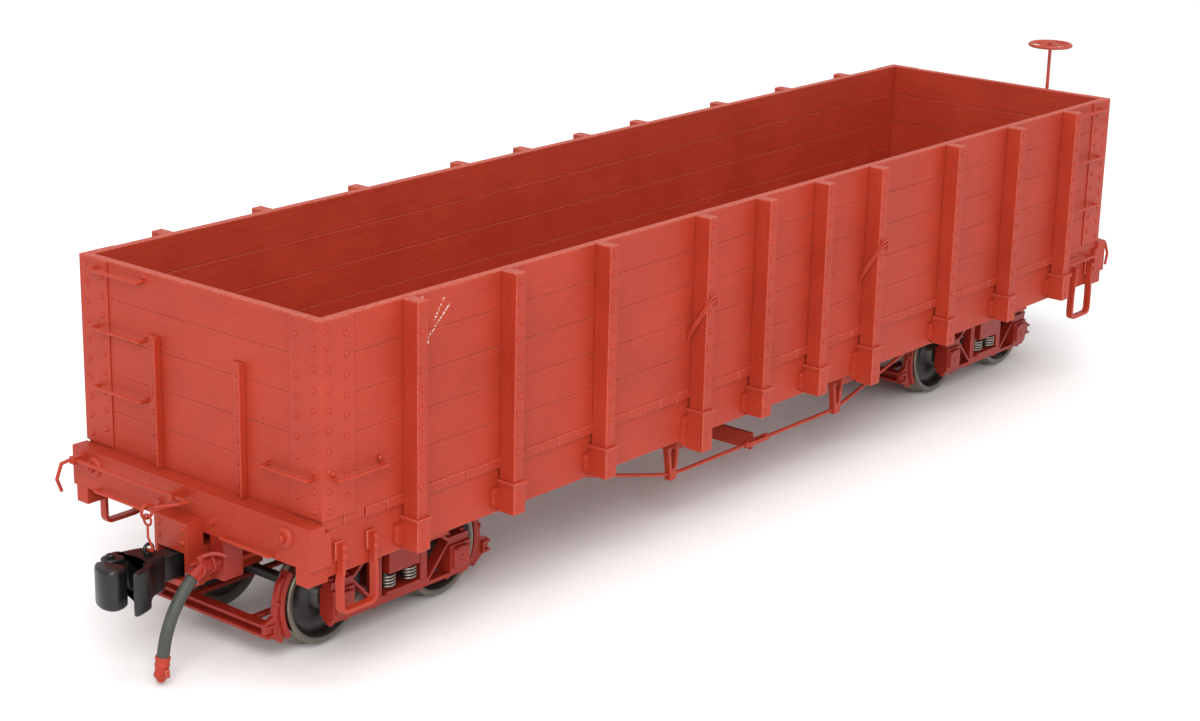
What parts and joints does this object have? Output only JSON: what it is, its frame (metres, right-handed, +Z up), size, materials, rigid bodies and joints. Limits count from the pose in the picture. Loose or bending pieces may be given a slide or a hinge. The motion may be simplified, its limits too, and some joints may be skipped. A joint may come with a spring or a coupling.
{
  "type": "scale model high side gondola car",
  "caption": "Open-topped wooden freight car model with straight board sides, side stakes, truss rods and swivelling arch-bar bogies.",
  "frame": {"origin": "under the middle of the car, at the underside of the wheel flanges; the rail top is 1.4 mm above it", "axes": "+X along the car towards the hand brake end, +Y to the left of that, +Z up"},
  "size_m": [0.5512, 0.1244, 0.1383],
  "materials": {
    "car_red": "satin oxide red paint over moulded wood grain",
    "coupler_black": "chemically blackened casting, dull",
    "wheel_steel": "blackened with bright tread",
    "spring_steel": "bare wire",
    "hose_rubber": "grey, matt"
  },
  "bodies": {
    "car_body": {"air_hose_a": "hose_rubber", "air_hose_b": "hose_rubber", "angle_cocks": "car_red", "body_bolsters": "car_red", "brake_cylinder": "car_red", "brake_staff": "car_red", "brake_wheel": "car_red", "center_sills": "car_red", "chain_a": "car_red", "chain_b": "car_red", "corner_plates": "car_red", "draft_pockets": "car_red", "end_boards": "car_red", "end_sills": "car_red", "end_stakes": "car_red", "floor_deck": "car_red", "glad_hand_a": "car_red", "glad_hand_b": "car_red", "grab_irons": "car_red", "lift_levers": "car_red", "needle_beams": "car_red", "queen_posts": "car_red", "side_boards_left": "car_red", "side_boards_right": "car_red", "side_sills": "car_red", "side_stakes": "car_red", "sill_blocks": "car_red", "stake_pockets": "car_red", "stirrup_steps": "car_red", "train_pipe": "car_red", "truss_rod_slopes": "car_red", "truss_rods": "car_red", "turnbuckle_board": "car_red"},
    "truck_a": {"truck_a_bolster": "car_red", "truck_a_brakes": "car_red", "truck_a_journal_boxes": "car_red", "truck_a_side_frames": "car_red", "truck_a_spring_plank": "car_red", "truck_a_springs": "spring_steel"},
    "truck_b": {"truck_b_bolster": "car_red", "truck_b_brakes": "car_red", "truck_b_journal_boxes": "car_red", "truck_b_side_frames": "car_red", "truck_b_spring_plank": "car_red", "truck_b_springs": "spring_steel"},
    "wheelset_a1": {"wheels_a1": "wheel_steel", "axle_a1": "wheel_steel"},
    "wheelset_a2": {"wheels_a2": "wheel_steel", "axle_a2": "wheel_steel"},
    "wheelset_b1": {"wheels_b1": "wheel_steel", "axle_b1": "wheel_steel"},
    "wheelset_b2": {"wheels_b2": "wheel_steel", "axle_b2": "wheel_steel"},
    "coupler_a": {"coupler_a": "coupler_black"},
    "knuckle_a": {"knuckle_a": "coupler_black"},
    "coupler_b": {"coupler_b": "coupler_black"},
    "knuckle_b": {"knuckle_b": "coupler_black"}
  },
  "joints": [
    {"name": "truck_a_swivel", "type": "hinge", "parent": "car_body", "child": "truck_a", "pos_m": [-0.1795, 0, 0.034], "axis": [0, 0, -1], "range_deg": [-8, 8]},
    {"name": "wheelset_a1_roll", "type": "hinge", "parent": "truck_a", "child": "wheelset_a1", "pos_m": [-0.2064, 0, 0.01765], "axis": [0, 1, 0], "continuous": true},
    {"name": "wheelset_a2_roll", "type": "hinge", "parent": "truck_a", "child": "wheelset_a2", "pos_m": [-0.1526, 0, 0.01765], "axis": [0, 1, 0], "continuous": true},
    {"name": "coupler_a_swing", "type": "hinge", "parent": "car_body", "child": "coupler_a", "pos_m": [-0.222, 0, 0.033], "axis": [0, 0, -1], "range_deg": [-6, 6], "deforming": ["chain_a"]},
    {"name": "knuckle_a_open", "type": "hinge", "parent": "coupler_a", "child": "knuckle_a", "pos_m": [-0.266, 0.0054, 0.033], "axis": [0, 0, -1], "range_deg": [0, 30]},
    {"name": "truck_b_swivel", "type": "hinge", "parent": "car_body", "child": "truck_b", "pos_m": [0.1795, 0, 0.034], "axis": [0, 0, 1], "range_deg": [-8, 8]},
    {"name": "wheelset_b1_roll", "type": "hinge", "parent": "truck_b", "child": "wheelset_b1", "pos_m": [0.2064, 0, 0.01765], "axis": [0, 1, 0], "continuous": true},
    {"name": "wheelset_b2_roll", "type": "hinge", "parent": "truck_b", "child": "wheelset_b2", "pos_m": [0.1526, 0, 0.01765], "axis": [0, 1, 0], "continuous": true},
    {"name": "coupler_b_swing", "type": "hinge", "parent": "car_body", "child": "coupler_b", "pos_m": [0.222, 0, 0.033], "axis": [0, 0, 1], "range_deg": [-6, 6], "deforming": ["chain_b"]},
    {"name": "knuckle_b_open", "type": "hinge", "parent": "coupler_b", "child": "knuckle_b", "pos_m": [0.266, -0.0054, 0.033], "axis": [0, 0, -1], "range_deg": [0, 30]}
  ]
}
